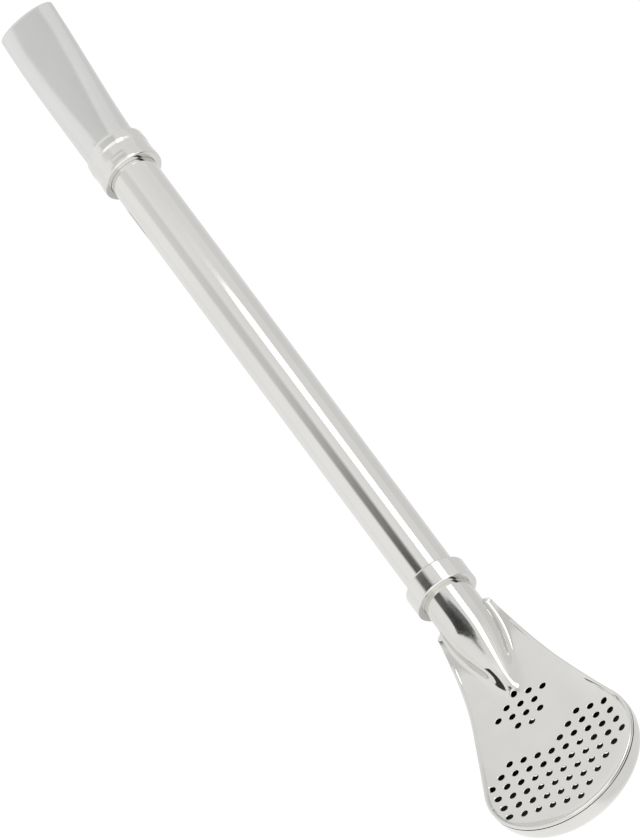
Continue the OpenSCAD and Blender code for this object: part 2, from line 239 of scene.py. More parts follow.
def drawn_nickel():
    """Nickel-plated drawn tube: clear reflections, faintly streaked along its length by the die."""
    return plated_metal("nickel_plated_drawn_tube", colours().plate, 0.97, (0.15, 9, 0.15),
                        (0.05, 0.08), 14, 0.03)


def turned_nickel():
    """Nickel-plated turned collar: clear reflections, fine rings round it from the lathe."""
    return plated_metal("nickel_plated_turned_collar", colours().plate, 0.97, (6, 0.12, 6),
                        (0.06, 0.10), 6, 0.03)


def satin_nickel():
    """Nickel plating buffed to satin: the flattened mouthpiece shows soft, even grey faces."""
    return plated_metal("nickel_plated_satin_mouthpiece", colours().satin, 0.98, (0.2, 4, 0.2),
                        (0.13, 0.19), 10, 0.03)


def pressed_nickel():
    """Nickel-plated pressed sheet: a quiet mirror with the slight unevenness of a pressing."""
    return plated_metal("nickel_plated_pressed_sheet", colours().sheet, 0.97, (0.4, 0.4, 0.4),
                        (0.04, 0.07), 5, 0.06)


def raw_inside():
    """Unpolished inside of tube and sheet: dull, dark and streaky, so that holes read nearly black; on the
    back shell's seam it is painted shade.
    """
    return plated_metal("unpolished_metal_inside", colours().inside, 0.8, (0.6, 0.6, 0.6),
                        (0.45, 0.6), 3, 0.2)


def turned_steel():
    """Turned steel: matt grey with close rings from the cutting tool."""
    return plated_metal("turned_steel_nipple", colours().turned, 0.93, (5, 0.08, 5),
                        (0.2, 0.32), 4, 0.05)


def moulded_silicone():
    """Moulded silicone: milky white, soft sheen, a trace of mould texture."""
    name = "moulded_silicone_seal"
    if name in bpy.data.materials:
        return bpy.data.materials[name]
    made, tree = blank_material(name)
    colour = colours().seal
    place = add_node(tree, "ShaderNodeTexCoord").outputs["Object"]
    grain = add_node(tree, "ShaderNodeTexNoise", {
        "Vector": place, "Scale": 1 / (0.3 * MM), "Detail": 2.0}).outputs["Fac"]
    base = add_node(tree, "ShaderNodeMix", {
        "Factor": grain, "A": (*colour, 1), "B": (*[c * 0.92 for c in colour], 1)},
        data_type="RGBA").outputs["Result"]
    relief = add_node(tree, "ShaderNodeBump", {"Height": grain, "Strength": 0.2, "Distance": 0.01 * MM})
    shader = add_node(tree, "ShaderNodeBsdfPrincipled", {
        "Base Color": base, "Roughness": 0.48, "IOR": 1.41, "Subsurface Weight": 0.25,
        "Subsurface Scale": 0.5 * MM, "Normal": relief.outputs["Normal"]})
    add_node(tree, "ShaderNodeOutputMaterial", {"Surface": shader.outputs["BSDF"]})
    return made


def mesh_of(shape, name):
    """A shape as a mesh."""
    mesh = bpy.data.meshes.new(name)
    shape.to_mesh(mesh)
    shape.free()
    return mesh


def set_down(name, data):
    """Adds an object to the scene."""
    made = bpy.data.objects.new(name, data)
    bpy.context.scene.collection.objects.link(made)
    return made


def finished(shape, name, node, body, materials, crease=35, keen=False):
    """Lays a shape in the shared frame and hands it over; keen keeps open edges crisp."""
    bmesh.ops.transform(shape, matrix=LAID, verts=shape.verts)
    for face in shape.faces:
        face.smooth = True
    for edge in shape.edges:
        if len(edge.link_faces) == 2:
            edge.smooth = edge.calc_face_angle(0) < math.radians(crease)
        elif keen:
            edge.smooth = False
    mesh = mesh_of(shape, name)
    for material in materials:
        mesh.materials.append(material)
    piece = set_down(name, mesh)
    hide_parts(node)
    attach(piece, body)
    return piece


def closed_line(shape, profile):
    """Vertices and edges of a closed profile of (radius, place along the straw)."""
    corners = [shape.verts.new((r, y, 0)) for r, y in profile]
    return corners + [shape.edges.new((corners[i - 1], corners[i])) for i in range(len(corners))]


def turned(profile, sides=96):
    """A ring turned from a closed profile."""
    shape = bmesh.new()
    bmesh.ops.spin(shape, geom=closed_line(shape, profile), cent=(0, 0, 0), axis=ALONG,
                   dvec=(0, 0, 0), angle=math.tau, steps=sides, use_merge=True)
    bmesh.ops.remove_doubles(shape, verts=shape.verts, dist=1e-4)
    bmesh.ops.recalc_face_normals(shape, faces=shape.faces)
    return shape


def round_edges(shape, width, wanted):
    """Rounds the sharp edges that a test picks."""
    edges = [e for e in shape.edges
             if len(e.link_faces) == 2 and e.calc_face_angle(0) > math.radians(40) and wanted(e)]
    bmesh.ops.bevel(shape, geom=edges, offset=width, offset_type="OFFSET", segments=3, profile=0.5,
                    affect="EDGES", clamp_overlap=True, material=-1)


def radius_of(edge):
    """Distance of an edge's middle from the straw's axis."""
    middle = (edge.verts[0].co + edge.verts[1].co) / 2
    return math.hypot(middle.x, middle.z)


def thread_ridge(shape, base_r, tip_r, start, end, phase):
    """Adds one right-handed thread ridge, trimmed flat at both ends; phase is in turns."""
    pitch = straw().thread_pitch
    sides = 48
    flat_half = THREAD_HALF * 0.2
    turns = math.ceil((end - start) / pitch) + 3
    first = (math.floor(start / pitch) - 1 + phase) * pitch
    ridge = bmesh.new()
    section = [(base_r, first - THREAD_HALF), (tip_r, first - flat_half),
               (tip_r, first + flat_half), (base_r, first + THREAD_HALF)]
    bmesh.ops.spin(ridge, geom=closed_line(ridge, section), cent=(0, 0, 0), axis=ALONG,
                   dvec=(0, pitch / sides, 0), angle=math.tau * turns, steps=sides * turns)
    for y, away in ((start, -1), (end, 1)):
        bmesh.ops.bisect_plane(ridge, geom=ridge.verts[:] + ridge.edges[:] + ridge.faces[:],
                               plane_co=(0, y, 0), plane_no=(0, away, 0), clear_outer=True)
    bmesh.ops.holes_fill(ridge, edges=[e for e in ridge.edges if e.is_boundary], sides=0)
    bmesh.ops.recalc_face_normals(ridge, faces=ridge.faces)
    mesh = mesh_of(ridge, "thread_ridge")
    shape.from_mesh(mesh)
    bpy.data.meshes.remove(mesh)


def shifted(shape, place):
    """Moves a shape along the straw."""
    bmesh.ops.translate(shape, vec=ALONG * place, verts=shape.verts)
    return shape


def collar(name, node, body, place, outside, seat, lip, gap):
    """A turned collar with its socket, tube seat and female thread.

    lip rounds its tip-side edge, and gap is the room round the tube that enters there.
    """
    s = straw()
    tube_r = s.tube_d / 2
    bore_r = tube_r - s.tube_wall
    seal_at = s.socket + s.seal_t + SEAL_ROOM
    sleeve_end = seal_at + COLLAR_THREAD
    sleeve_r = bore_r - SEAT_PLAY
    root_r = s.thread_d / 2 + THREAD_PLAY
    seat_r = tube_r + SEAT_PLAY / 2
    shape = turned([*outside, (seat_r, outside[-1][1]), (seat_r, seat), (sleeve_r, seat),
                    (sleeve_r, sleeve_end), (root_r, sleeve_end), (root_r, seal_at),
                    (tube_r + gap, seal_at), (tube_r + gap, 0)])

    def at_tip(edge, low_r, high_r):
        return low_r < radius_of(edge) < high_r and edge.verts[0].co.y < 0.1

    round_edges(shape, lip, lambda e: at_tip(e, s.collar_d / 2 - 0.01, s.collar_d))
    round_edges(shape, gap + 0.01, lambda e: at_tip(e, tube_r, tube_r + 0.15))
    thread_ridge(shape, root_r + ROOT_OVERLAP, root_r - COLLAR_RIDGE, seal_at, sleeve_end, 0.5)
    return finished(shifted(shape, place), name, node, body, [turned_nickel()])


class BombillaCollars(bpy.types.Operator):
    """Turn the two collars with their sockets and female threads"""

    bl_idname = "bombilla.collars"
    bl_label = "Collars"

    def execute(self, context):
        s = straw()
        r = s.collar_d / 2
        tube_r = s.tube_d / 2
        lower_l = s.lower_band + s.lower_shoulder
        # Rings close to each edge keep the bands straight in their reflections
        lower = [(r, 0), (r, 0.4), (r, s.lower_band - 0.25), (r, s.lower_band - 0.05),
                 (r - 0.06, s.lower_band), (tube_r + 0.06, lower_l)]
        collar("lower_collar_turned", "lower_collar", "stem", 0, lower, lower_l - STEM_SEAT,
               lip=0.12, gap=0.01)
        # The upper collar: a flange, a shallow groove, a band that flares to a ridge, a gentle shoulder
        band_r = r - 0.1
        ridge = s.upper_band + 0.6
        upper = [(r, 0), (r, 0.5), (r, 1.1), (r - 0.03, 1.35), (band_r + 0.02, 1.7), (band_r, 1.9),
                 (band_r, 2.2), (band_r, ridge - 0.55), (band_r, ridge - 0.44),
                 (band_r + 0.008, ridge - 0.41), (r - 0.01, ridge - 0.06), (r, ridge),
                 (r - 0.004, ridge + 0.08), (r - 0.06, ridge + 1.1), (r - 0.09, ridge + 1.5),
                 (r - 0.17, ridge + 1.7), (r - 0.4, ridge + 1.87), (tube_r + 0.06, ridge + 2.1)]
        collar("upper_collar_turned", "upper_collar", "mouthpiece", UPPER_AT, upper, s.upper_band,
               lip=0.25, gap=0.03)
        return {"FINISHED"}


class BombillaStem(bpy.types.Operator):
    """Draw the stem tube"""

    bl_idname = "bombilla.stem"
    bl_label = "Stem"

    def execute(self, context):
        s = straw()
        r = s.tube_d / 2
        bore_r = r - s.tube_wall
        start = s.lower_band + s.lower_shoulder - STEM_SEAT
        end = UPPER_AT + s.socket
        ring = end - 0.4
        shape = turned([(r, start), (r, ring), (r, end), (bore_r, end), (bore_r, ring), (bore_r, start)])
        round_edges(shape, 0.08, lambda e: e.verts[0].co.y > end - 0.1)
        for face in shape.faces:
            if max(math.hypot(v.co.x, v.co.z) for v in face.verts) < bore_r + 0.01:
                face.material_index = 1
        finished(shape, "stem_tube_drawn", "stem_tube", "stem",
                 [drawn_nickel(), raw_inside()])
        return {"FINISHED"}


class BombillaNipples(bpy.types.Operator):
    """Turn the two threaded nipples"""

    bl_idname = "bombilla.nipples"
    bl_label = "Threaded nipples"

    def execute(self, context):
        s = straw()
        spigot_r = s.tube_d / 2 - s.tube_wall - SEAT_PLAY
        root_r = s.thread_d / 2 - NIPPLE_RIDGE
        bore_r = 2.0
        spigot_l = 6
        spigot = s.socket - spigot_l
        thread_end = s.socket + s.seal_t + SEAL_ROOM + NIPPLE_THREAD
        profile = [(bore_r, spigot), (spigot_r, spigot), (spigot_r, s.socket), (root_r, s.socket),
                   (root_r, thread_end), (bore_r, thread_end)]
        for name, node, body, place in (("stem_nipple_turned", "stem_nipple", "stem", UPPER_AT),
                                        ("head_nipple_turned", "head_nipple", "head", 0)):
            shape = turned(profile, 72)
            round_edges(shape, 0.15, lambda e: e.verts[0].co.y > thread_end - 0.01 or
                        e.verts[0].co.y < spigot + 0.01)
            thread_ridge(shape, root_r - ROOT_OVERLAP, s.thread_d / 2, s.socket, thread_end - 0.1, 0)
            finished(shifted(shape, place), name, node, body, [turned_steel()])
        return {"FINISHED"}


class BombillaSeals(bpy.types.Operator):
    """Mould the two sealing washers"""

    bl_idname = "bombilla.seals"
    bl_label = "Seals"

    def execute(self, context):
        s = straw()
        outer_r = s.tube_d / 2 - 0.05
        inner_r = s.thread_d / 2 + 0.1
        low = s.socket
        high = low + s.seal_t
        for name, node, body, place in (("mouth_seal_washer", "mouth_seal", "mouth_seal_ring", UPPER_AT),
                                        ("head_seal_washer", "head_seal", "head_seal_ring", 0)):
            shape = turned([(outer_r, low), (outer_r, high), (inner_r, high), (inner_r, low)])
            round_edges(shape, 0.15, lambda e: True)
            finished(shifted(shape, place), name, node, body, [moulded_silicone()])
        return {"FINISHED"}


def mapped_grid(columns, rows):
    """A grid of quads, with its vertices kept by column and row."""
    shape = bmesh.new()
    bmesh.ops.create_grid(shape, x_segments=columns, y_segments=rows, size=0.5)
    at = {(round((v.co.x + 0.5) * columns), round((v.co.y + 0.5) * rows)): v for v in shape.verts}
    return shape, at


def thicken(piece, wall):
    """Gives a sheet its thickness behind its outer face; the inside keeps its own finish."""
    skin = piece.modifiers.new("wall", "SOLIDIFY")
    skin.thickness = wall * MM
    skin.offset = -1
    skin.material_offset = 1
    skin.material_offset_rim = 0


class BombillaMouthpiece(bpy.types.Operator):
    """Flatten the mouthpiece tube from round to an oval with flat faces"""

    bl_idname = "bombilla.mouthpiece"
    bl_label = "Mouthpiece"

    rings = 40
    sides = 96

    def oval(self, half_w, half_t, lean, power):
        """A section as x and z; a power of 1 makes an ellipse, and a lower one flattens its sides."""
        points = []
        for i in range(self.sides):
            c = math.cos(math.tau * i / self.sides)
            h = math.sin(math.tau * i / self.sides)
            points.append((lean + half_w * math.copysign(abs(c) ** power, c),
                           half_t * math.copysign(abs(h) ** power, h)))
        return points

    def section(self, t):
        """Section at t, 0 just past the collar and 1 at the mouth."""
        s = straw()
        r = s.tube_d / 2
        # Near the collar the tube is a little wider already and leans a little to the left
        widened = 0.36
        set_back = 0.27
        half_w = r + (s.mouth_w / 2 - r) * (widened + (1 - widened) * smooth_step(-0.1, 0.95, t))
        lean = s.mouth_lean * ((1 + set_back) * t ** 1.4 - set_back)
        half_t = r + (s.mouth_t / 2 - r) * t * (1.4 - 0.4 * t)
        # Half way up the faces are flatter than an ellipse's
        flatness = 0.35 * smooth_step(0, 0.5, t) * (1 - smooth_step(0.75, 1, t))
        return self.oval(half_w, half_t, lean, 2 / (2 + flatness))

    def execute(self, context):
        s = straw()
        r = s.tube_d / 2
        round_end = UPPER_AT + s.socket + s.seal_t + SEAL_ROOM + COLLAR_THREAD + SEAT_PLAY
        count = self.sides
        shape, at = mapped_grid(count, self.rings + 1)
        for row in range(self.rings + 2):
            t = max(0, row - 1) / self.rings
            y = round_end + (MOUTH_AT - round_end) * t if row else UPPER_AT + s.upper_band
            points = self.section(t) if row else self.oval(r, r, 0, 1)
            for column in range(count + 1):
                x, z = points[column % count]
                at[column, row].co = (x, y, z)
        bmesh.ops.remove_doubles(shape, verts=shape.verts, dist=1e-4)
        bmesh.ops.recalc_face_normals(shape, faces=shape.faces)
        if sum(f.normal.z * f.calc_center_median().z for f in shape.faces) < 0:
            bmesh.ops.reverse_faces(shape, faces=shape.faces)
        piece = finished(shape, "mouthpiece_tube_flattened", "mouthpiece_tube", "mouthpiece",
                         [satin_nickel(), raw_inside()])
        thicken(piece, s.tube_wall)
        lip = piece.modifiers.new("lip", "BEVEL")
        lip.width = 0.18 * MM
        lip.segments = 3
        lip.limit_method = "ANGLE"
        lip.angle_limit = math.radians(60)
        return {"FINISHED"}


class HeadForm:
    """The head's outline, bend and dish.

    u runs along the head from its shoulders, and q inwards from its outline.
    """

    def __init__(self):
        h = head()
        self.h = h
        self.neck_r = straw().tube_d / 2
        self.bend = bpy.context.scene.bombilla_head.bend
        self.bend_u = h.bend_r * self.bend
        # The middle of a flank's circle, which passes a shoulder and runs smoothly into the round end
        slope = h.bulb_at / h.shoulder_half
        reach = (h.flank_r + h.bulb_r) ** 2 - h.flank_r ** 2 - h.bulb_at ** 2 + h.shoulder_half ** 2
        line_x = reach / (2 * h.shoulder_half)
        offset = line_x - h.shoulder_half
        square = 1 + slope * slope
        root = math.sqrt((slope * offset) ** 2 - square * (offset ** 2 - h.flank_r ** 2))
        self.flank_u = (root - slope * offset) / square
        self.flank_x = line_x + slope * self.flank_u
        self.flank_start = math.atan2(-self.flank_u, h.shoulder_half - self.flank_x)
        self.flank_end = math.atan2(h.bulb_at - self.flank_u, -self.flank_x)

    def half(self, u, q):
        """Half width at u."""
        h = self.h
        meet = h.bulb_at + (h.bulb_r - q) * math.sin(self.flank_end - math.pi)
        if u < meet:
            return self.flank_x - math.sqrt((h.flank_r + q) ** 2 - (u - self.flank_u) ** 2)
        return math.sqrt(max(0, (h.bulb_r - q) ** 2 - (u - h.bulb_at) ** 2))

    def rim(self, t, q):
        """A point of the right half outline as x and u; t is 0 at the shoulder and 1 at the tip."""
        h = self.h
        if t == 0:
            return self.half(0, q), 0
        if t < 0.5:
            a = self.flank_start + (self.flank_end - self.flank_start) * 2 * t
            r = h.flank_r + q
            return self.flank_x + r * math.cos(a), self.flank_u + r * math.sin(a)
        start = self.flank_end - math.pi
        a = start + (math.pi / 2 - start) * (2 * t - 1)
        r = h.bulb_r - q
        return (0 if t == 1 else r * math.cos(a)), h.bulb_at + r * math.sin(a)

    def inward(self, x, u):
        """Distance of a point inside the outline."""
        h = self.h
        if u > h.bulb_at:
            return h.bulb_r - math.hypot(x, u - h.bulb_at)
        return self.half(u, 0) - abs(x)

    def rolled(self, u):
        """0 at the shoulders, where the plate covers the shell's edge, and 1 where the rim holds it."""
        return smooth_step(6, 10, u)

    def tuck(self, u):
        """How far the plate's edge lies inside the outline."""
        return 0.02 + 0.18 * self.rolled(u)

    def rise(self, x, u):
        """How far the dished border stands forward."""
        h = self.h
        return h.dish * max(0, 1 - self.inward(x, u) / h.dish_w) ** 2 * smooth_step(10, 28, u)

    def place(self, x, u, depth):
        """A point at a depth behind the front face, without the dish and the ridge."""
        h = self.h
        a = min(u, self.bend_u) / h.bend_r
        past = max(0, u - self.bend_u)
        y = -h.neck - (h.bend_r + depth) * math.sin(a) - past * math.cos(a)
        z = h.bend_r - (h.bend_r + depth) * math.cos(a) + past * math.sin(a)
        return Vector((x, y, z))

    def ridge(self, u):
        """The ridge at u: the plate's height, the fillet's radius, angle and foot, and the taper."""
        r = self.neck_r
        height = self.place(0, u, 0).z
        taper = 1 - 0.5 * smooth_step(2, 17, u)
        if height >= r:
            return height, 1, 0, 0, taper
        fillet = 0.8 + 1.2 * smooth_step(1, 14, u)
        foot = math.sqrt((r + fillet) ** 2 - (height + fillet) ** 2)
        return height, fillet, math.atan2(foot, height + fillet), foot, taper

    def across(self, away, u):
        """Distance from the head's middle, at a distance along the surface from the ridge's crest."""
        r = self.neck_r
        _, fillet, angle, foot, taper = self.ridge(u)
        if away < r * angle:
            x = taper * r * math.sin(away / r)
        elif away < (r + fillet) * angle:
            x = taper * (foot - fillet * math.sin(angle - (away - r * angle) / fillet))
        else:
            x = taper * foot + away - (r + fillet) * angle
        # Toward the holes the ridge is low, and distances there are measured straight across
        return x + (away - x) * smooth_step(11, 16, u)

    def edge(self, u, q):
        """Distance along the surface from the crest to the outline at u."""
        if u < 0:
            return self.neck_r * math.pi / 2
        low, high = 0, 2 * self.h.bulb_r
        for _ in range(30):
            middle = (low + high) / 2
            if self.across(middle, u) < self.half(u, q):
                low = middle
            else:
                high = middle
        return low

    def crest(self, x, u):
        """Height of the ridge above the plate."""
        r = self.neck_r
        height, fillet, angle, foot, taper = self.ridge(u)
        wide = x / taper
        if wide < r * math.sin(angle):
            return math.sqrt(r * r - wide * wide) - height
        if wide < foot:
            return fillet - math.sqrt(max(0, fillet ** 2 - (foot - wide) ** 2))
        return 0

    def soft_crest(self, x, u):
        """Height of the ridge, with its end averaged: the press can't hold a sharp one."""
        spread = 0.5 * smooth_step(8, 14, u)
        if spread == 0:
            return self.crest(x, u)
        weights = {-2: 1, -1: 2, 0: 3, 1: 2, 2: 1}
        return sum(weights[i] * weights[j] * self.crest(abs(x + spread * i), u + spread * j)
                   for i in weights for j in weights) / sum(weights.values()) ** 2

    def surface(self, along, u, depth):
        """A point of the front plate at a distance along the surface from the crest, and at u."""
        r = self.neck_r
        side = math.copysign(1, along)
        if u < 0:
            a = along / r
            return Vector(((r - depth) * math.sin(a), -self.h.neck - u, (r - depth) * math.cos(a)))
        x = self.across(abs(along), u)
        point = self.place(side * x, u, depth - self.rise(x, u))
        point.z += self.soft_crest(x, u)
        return point


# Columns of holes from the middle one outwards: half pitches to the first hole, and how many holes
SMALL_COLUMNS = ((0, 4), (1, 3), (2, 1))
LARGE_COLUMNS = ((0, 6), (-1, 6), (-2, 6), (-3, 6), (-2, 5), (-1, 4))


def hole_steps(columns):
    """Column number and half-pitch steps of every hole in a group."""
    for k in range(1 - len(columns), len(columns)):
        first, count = columns[abs(k)]
        for i in range(count):
            yield k, first + 2 * i


def extruded(shape, edges):
    """Extrudes edges and returns the new vertices and the new outer edges."""
    made = bmesh.ops.extrude_edge_only(shape, edges=edges)["geom"]
    verts = [v for v in made if isinstance(v, bmesh.types.BMVert)]
    fresh = set(verts)
    rim = [e for e in made if isinstance(e, bmesh.types.BMEdge) and fresh.issuperset(e.verts)]
    return verts, rim


def roll_lip(shape, centre, edges, inward, rings):
    """Rolls a hole's edge in, as a punch leaves it, through rings of (radius, depth)."""
    for radius, depth in rings:
        verts, edges = extruded(shape, edges)
        for vert in verts:
            away = vert.co - centre
            away -= inward * away.dot(inward)
            vert.co = centre + away.normalized() * radius + inward * depth
    return verts, edges


class BombillaFrontPlate(bpy.types.Operator):
    """Press the front plate: neck, ridge, dished plate and punched holes"""

    bl_idname = "bombilla.front_plate"
    bl_label = "Front plate"

    # Grid cells for each half pitch along the head and for each column of holes across it
    cells_along = 4
    cells_across = 6

    def execute(self, context):
        form = HeadForm()
        h = form.h
        step = h.hole_pitch / 2 / self.cells_along
        spread = h.hole_pitch * math.sqrt(3) / 2 / self.cells_across
        # Rows before and after each group's first hole
        small_before, small_after, large_before, large_after = 4, 30, 16, 50
        # Stretches of the grid: where each starts, and its rows
        marks = [(-h.neck - straw().socket, 10), (0, 57),
                 (h.small_group - small_before * step, small_before + small_after),
                 (h.small_group + small_after * step, 7),
                 (h.large_group - large_before * step, large_before + large_after)]
        ends = [u for u, _ in marks[1:]] + [h.large_group + large_after * step]
        places = [start + (end - start) * i / rows
                  for (start, rows), end in zip(marks, ends) for i in range(rows)] + [ends[-1]]
        reach = math.ceil((h.bulb_r + abs(h.hole_shift)) / spread)
        shape, at = mapped_grid(2 * reach, len(places) - 1)
        for (column, row), vert in at.items():
            vert.co = (h.hole_shift + (column - reach) * spread, places[row], 0)
        self.trim(shape, form, places[0], spread)
        small_row = marks[0][1] + marks[1][1] + small_before
        large_row = small_row + small_after + marks[3][1] + large_before
        rings = [self.open_hole(shape, at, reach + k * self.cells_across, row + steps * self.cells_along)
                 for columns, row in ((SMALL_COLUMNS, small_row), (LARGE_COLUMNS, large_row))
                 for k, steps in hole_steps(columns)]
        r = h.hole_d / 2
        for centre, edges in rings:
            roll_lip(shape, centre, edges, Vector((0, 0, 1)),
                     ((r + 0.05, 0.025), (r + 0.01, 0.07), (r, HOLE_LIP)))
        for vert in shape.verts:
            vert.co = form.surface(*vert.co)
        bmesh.ops.recalc_face_normals(shape, faces=shape.faces)
        if sum(f.normal.z for f in shape.faces) < 0:
            bmesh.ops.reverse_faces(shape, faces=shape.faces)
        piece = finished(shape, "front_plate_pressed", "front_plate", "head",
                         [pressed_nickel(), raw_inside()], crease=80, keen=True)
        thicken(piece, h.plate_t)
        return {"FINISHED"}

    def trim(self, shape, form, neck_end, spread):
        """Cuts the flat grid to the head's outline and draws its edge onto that line."""
        h = form.h
        middles = [(face, face.calc_center_median()) for face in shape.faces]
        outside = [face for face, middle in middles
                   if abs(middle.x) > form.edge(middle.y, form.tuck(middle.y))]
        bmesh.ops.delete(shape, geom=outside, context="FACES")
        for vert in [v for v in shape.verts if v.is_boundary]:
            x, u, _ = vert.co
            edge = form.edge(u, form.tuck(u))
            if u > h.bulb_at:
                outward = Vector((x, u - h.bulb_at, 0)).normalized()
                vert.co = Vector((0, h.bulb_at, 0)) + outward * (h.bulb_r - form.tuck(u))
            elif u > neck_end + 0.01 or abs(x) > edge - spread / 2:
                vert.co.x = math.copysign(edge, x)

    def open_hole(self, shape, at, column, row):
        """Takes out the cells round a grid point and draws the ring left there into a circle."""
        centre = at[column, row].co.copy()
        core = [at[column + i, row + j] for i in (-1, 0, 1) for j in (-1, 0, 1)]
        bmesh.ops.delete(shape, geom=core, context="VERTS")
        ring = [at[column + i, row + j] for i in range(-2, 3) for j in range(-2, 3)
                if max(abs(i), abs(j)) == 2]
        ring.sort(key=lambda v: math.atan2(v.co.y - centre.y, v.co.x - centre.x))
        for number, vert in enumerate(ring):
            a = math.tau * number / len(ring) - math.pi
            vert.co = centre + Vector((math.cos(a), math.sin(a), 0)) * (head().hole_d / 2 + HOLE_LIP)
        return centre, [shape.edges.get((ring[i - 1], ring[i])) for i in range(len(ring))]


def quarter_turn(steps):
    """Angles from 0 to a right angle."""
    return [math.pi / 2 * i / steps for i in range(steps + 1)]


class BombillaBackShell(bpy.types.Operator):
    """Press the back shell: rolled rim, side, drilled floor, shoulders and the neck's back half"""

    bl_idname = "bombilla.back_shell"
    bl_label = "Back shell"

    half_steps = 90
    # How deep the rolled edge and its seam reach, and how far the seam reaches in
    edge_depth = 0.46
    seam_q = 0.14

    def floor_q(self):
        """How far in from the outline the shell's level floor starts."""
        return head().side_round + 0.35

    def sections(self):
        """Edge section as q and depth: from the rim's foot over the bead to the floor, and back."""
        h = head()
        bead = 6
        # Where the bead's crown lies across its width, and how deep its inner and outer slopes start
        crown = 0.4
        inner_foot = 0.08
        outer_foot = 0.12
        outer = [(h.bead_w, 0.2)]
        outer += [(h.bead_w * (1 - (1 - crown) * f),
                   inner_foot - (h.bead_h + inner_foot) * smooth_step(0, 1, f))
                  for f in (i / bead for i in range(bead))]
        outer += [(crown * h.bead_w * (1 - math.sin(a)),
                   outer_foot - (h.bead_h + outer_foot) * math.cos(a)) for a in quarter_turn(bead)]
        # A fine seam under the bead, where the rolled edge closes on the shell; round the end its faces
        # take the dark inside finish as painted shade in the crease
        outer += [(self.seam_q, 0.17), (self.seam_q, 0.24), (0, 0.29), (0, h.side_h * 2 / 3)]
        bends = quarter_turn(9)
        outer += [(h.side_round * (1 - math.cos(a)), h.side_h + (h.shell_depth - h.side_h) * math.sin(a))
                  for a in bends]
        outer.append((self.floor_q(), h.shell_depth))
        t = h.shell_t
        inner = [(self.floor_q(), h.shell_depth - t)]
        inner += [(t + (h.side_round - t) * (1 - math.cos(a)),
                   h.side_h + (h.shell_depth - t - h.side_h) * math.sin(a)) for a in reversed(bends)]
        inner += [(t, self.edge_depth - 0.01), (h.bead_w, self.edge_depth - 0.01)]
        return outer, inner

    def execute(self, context):
        form = HeadForm()
        h = form.h
        outer, inner = self.sections()
        section = outer + inner + outer[:1]
        last = 2 * self.half_steps
        # Above this depth the bead grows
        level = 0.1
        shape, at = mapped_grid(last, len(section) - 1)
        for (i, k), vert in at.items():
            q, depth = section[k]
            t = min(i, last - i) / self.half_steps
            if q == self.seam_q:
                # The seam under the bead opens only round the end
                q *= smooth_step(14, 26, form.rim(t, 0)[1])
            x, u = form.rim(t, q)
            x = x if i <= self.half_steps else -x
            lift = form.rise(x, u) * (1 - max(0, depth) / h.shell_depth)
            # The edge lies under the plate at the shoulders, and its bead stands full at the round end
            grown = 0.35 * smooth_step(2, 7, u) + 0.65 * smooth_step(22, 38, u)
            height = depth if depth > level else level + (depth - level) * grown
            if depth < self.edge_depth:
                height += 0.3 * (1 - smooth_step(1, 6, u))
            vert.co = form.place(x, u, height - lift)
        deep = len(outer) - 1
        across = [shape.edges.get((at[i, deep], at[i, deep + 1])) for i in range(last + 1)]
        bmesh.ops.delete(shape, geom=across, context="EDGES")
        inside = {at[i, deep + 1 + k] for i in range(last + 1) for k in range(len(inner))}
        seam = {at[i, k] for i in range(last + 1) for k, (q, _) in enumerate(outer) if q == self.seam_q
                and form.rim(min(i, last - i) / self.half_steps, 0)[1] > 22}
        chains = [[at[i, k] for i in range(last + 1)] for k in (deep, deep + 1)]
        bmesh.ops.remove_doubles(shape, verts=shape.verts, dist=1e-5)
        self.floors(shape, form, chains, inside)
        self.neck(shape, form, inside)
        inside = {v for v in inside if v.is_valid}
        bmesh.ops.recalc_face_normals(shape, faces=shape.faces)
        # Inside faces take the dull inside finish, and so do the seam's faces round the end, as painted
        # shade
        for face in shape.faces:
            inside_or_seam_shade = inside.issuperset(face.verts) or len(seam.intersection(face.verts)) > 1
            face.material_index = 1 if inside_or_seam_shade else 0
        finished(shape, "back_shell_pressed", "back_shell", "head",
                 [pressed_nickel(), raw_inside()])
        return {"FINISHED"}

    def floors(self, shape, form, chains, inside):
        """Closes the floor, outside and inside, round holes that match the front plate's."""
        h = form.h
        last = 2 * self.half_steps
        bent = next(i for i in range(last)
                    if form.rim(i / self.half_steps, self.floor_q())[1] > form.bend_u)
        rims = []
        for chain in chains:
            sides = [[shape.edges.get((chain[i], chain[i + 1])) for i in span]
                     for span in (range(bent), range(last - bent, last))]
            bmesh.ops.bridge_loops(shape, edges=sides[0] + sides[1])
            rim = [shape.edges.get((chain[i], chain[i + 1])) for i in range(bent, last - bent)]
            rim.append(shape.edges.get((chain[bent], chain[last - bent])))
            rims.append(rim)
        turn = Matrix.Rotation(-form.bend, 4, "X")
        inward = turn @ Vector((0, 0, 1))
        r = h.hole_d / 2
        rings = []
        for columns, start in ((SMALL_COLUMNS, h.small_group), (LARGE_COLUMNS, h.large_group)):
            for k, steps in hole_steps(columns):
                x = h.hole_shift + k * h.hole_pitch * math.sqrt(3) / 2
                u = start + steps * h.hole_pitch / 2
                if u - h.hole_d > form.bend_u and abs(x) < form.half(u, h.side_round + h.hole_d):
                    centre = form.place(x, u, h.shell_depth)
                    made = bmesh.ops.create_circle(shape, segments=16, radius=r + HOLE_LIP,
                                                   matrix=Matrix.Translation(centre) @ turn)["verts"]
                    rings.append((centre, list(dict.fromkeys(e for v in made for e in v.link_edges))))
        bmesh.ops.triangle_fill(shape, use_beauty=True, normal=inward,
                                edges=rims[0] + [e for _, ring in rings for e in ring])
        raised = []
        for centre, edges in rings:
            verts, edges = roll_lip(shape, centre, edges, inward,
                                    ((r + 0.03, 0.03), (r, 0.1), (r, h.shell_t)))
            inside.update(verts)
            raised += edges
        bmesh.ops.triangle_fill(shape, use_beauty=True, normal=inward, edges=rims[1] + raised)

    def neck(self, shape, form, inside):
        """Draws the open end of the shell in round shoulders onto the neck's back half."""
        h = form.h
        r = form.neck_r
        shoulder = 0.85
        edges = [e for e in shape.edges if e.is_boundary]
